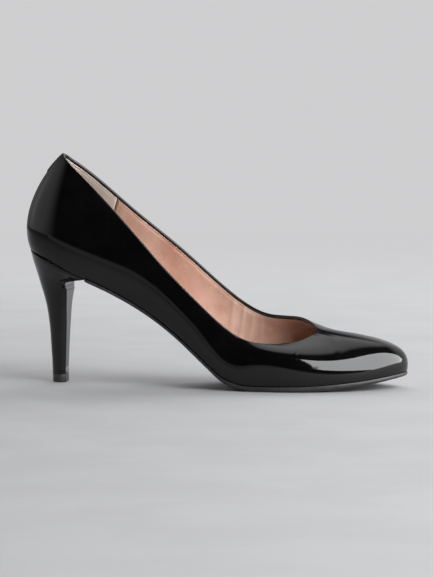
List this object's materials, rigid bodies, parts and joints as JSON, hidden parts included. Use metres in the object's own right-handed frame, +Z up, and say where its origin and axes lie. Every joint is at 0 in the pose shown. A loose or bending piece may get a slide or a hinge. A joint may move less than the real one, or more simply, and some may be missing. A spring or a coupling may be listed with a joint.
{
  "type": "high heel pump",
  "caption": "Black patent court shoe with a rounded toe, a low almond-shaped throat and a slim covered high heel, right foot.",
  "frame": {"origin": "centre of the ground face of the heel tip", "axes": "+X towards the toe, +Y towards the inner (medial) side of the foot, +Z up"},
  "size_m": [0.2352, 0.0767, 0.1414],
  "materials": {
    "black_patent": "glossy",
    "beige_lining": "satin",
    "pink_lining": "satin",
    "sock_leather": "satin",
    "fibre_stiffener": "matte",
    "backer_cloth": "matte",
    "sole_rubber": "satin",
    "lift_rubber": "matte",
    "fibre_board": "matte",
    "foam": "matte",
    "filler_felt": "matte",
    "shank_steel": "satin",
    "fixing_steel": "satin",
    "heel_plastic": "matte"
  },
  "bodies": {
    "root": {"upper_patent": "black_patent", "back_tab": "black_patent", "heel_cover": "black_patent", "quarter_lining": "beige_lining", "vamp_lining": "pink_lining", "sock_lining": "sock_leather", "heel_counter": "fibre_stiffener", "toe_puff": "fibre_stiffener", "side_backers": "backer_cloth", "vamp_backer": "backer_cloth", "outsole": "sole_rubber", "top_lift": "lift_rubber", "insole_forepart": "fibre_board", "insole_backpart": "fibre_board", "insole_foam": "foam", "bottom_filler": "filler_felt", "shank": "shank_steel", "shank_rivets": "fixing_steel", "heel_screw": "fixing_steel", "heel_nails": "fixing_steel", "heel_tube": "fixing_steel", "top_lift_pin": "fixing_steel", "heel_block": "heel_plastic"}
  },
  "joints": []
}
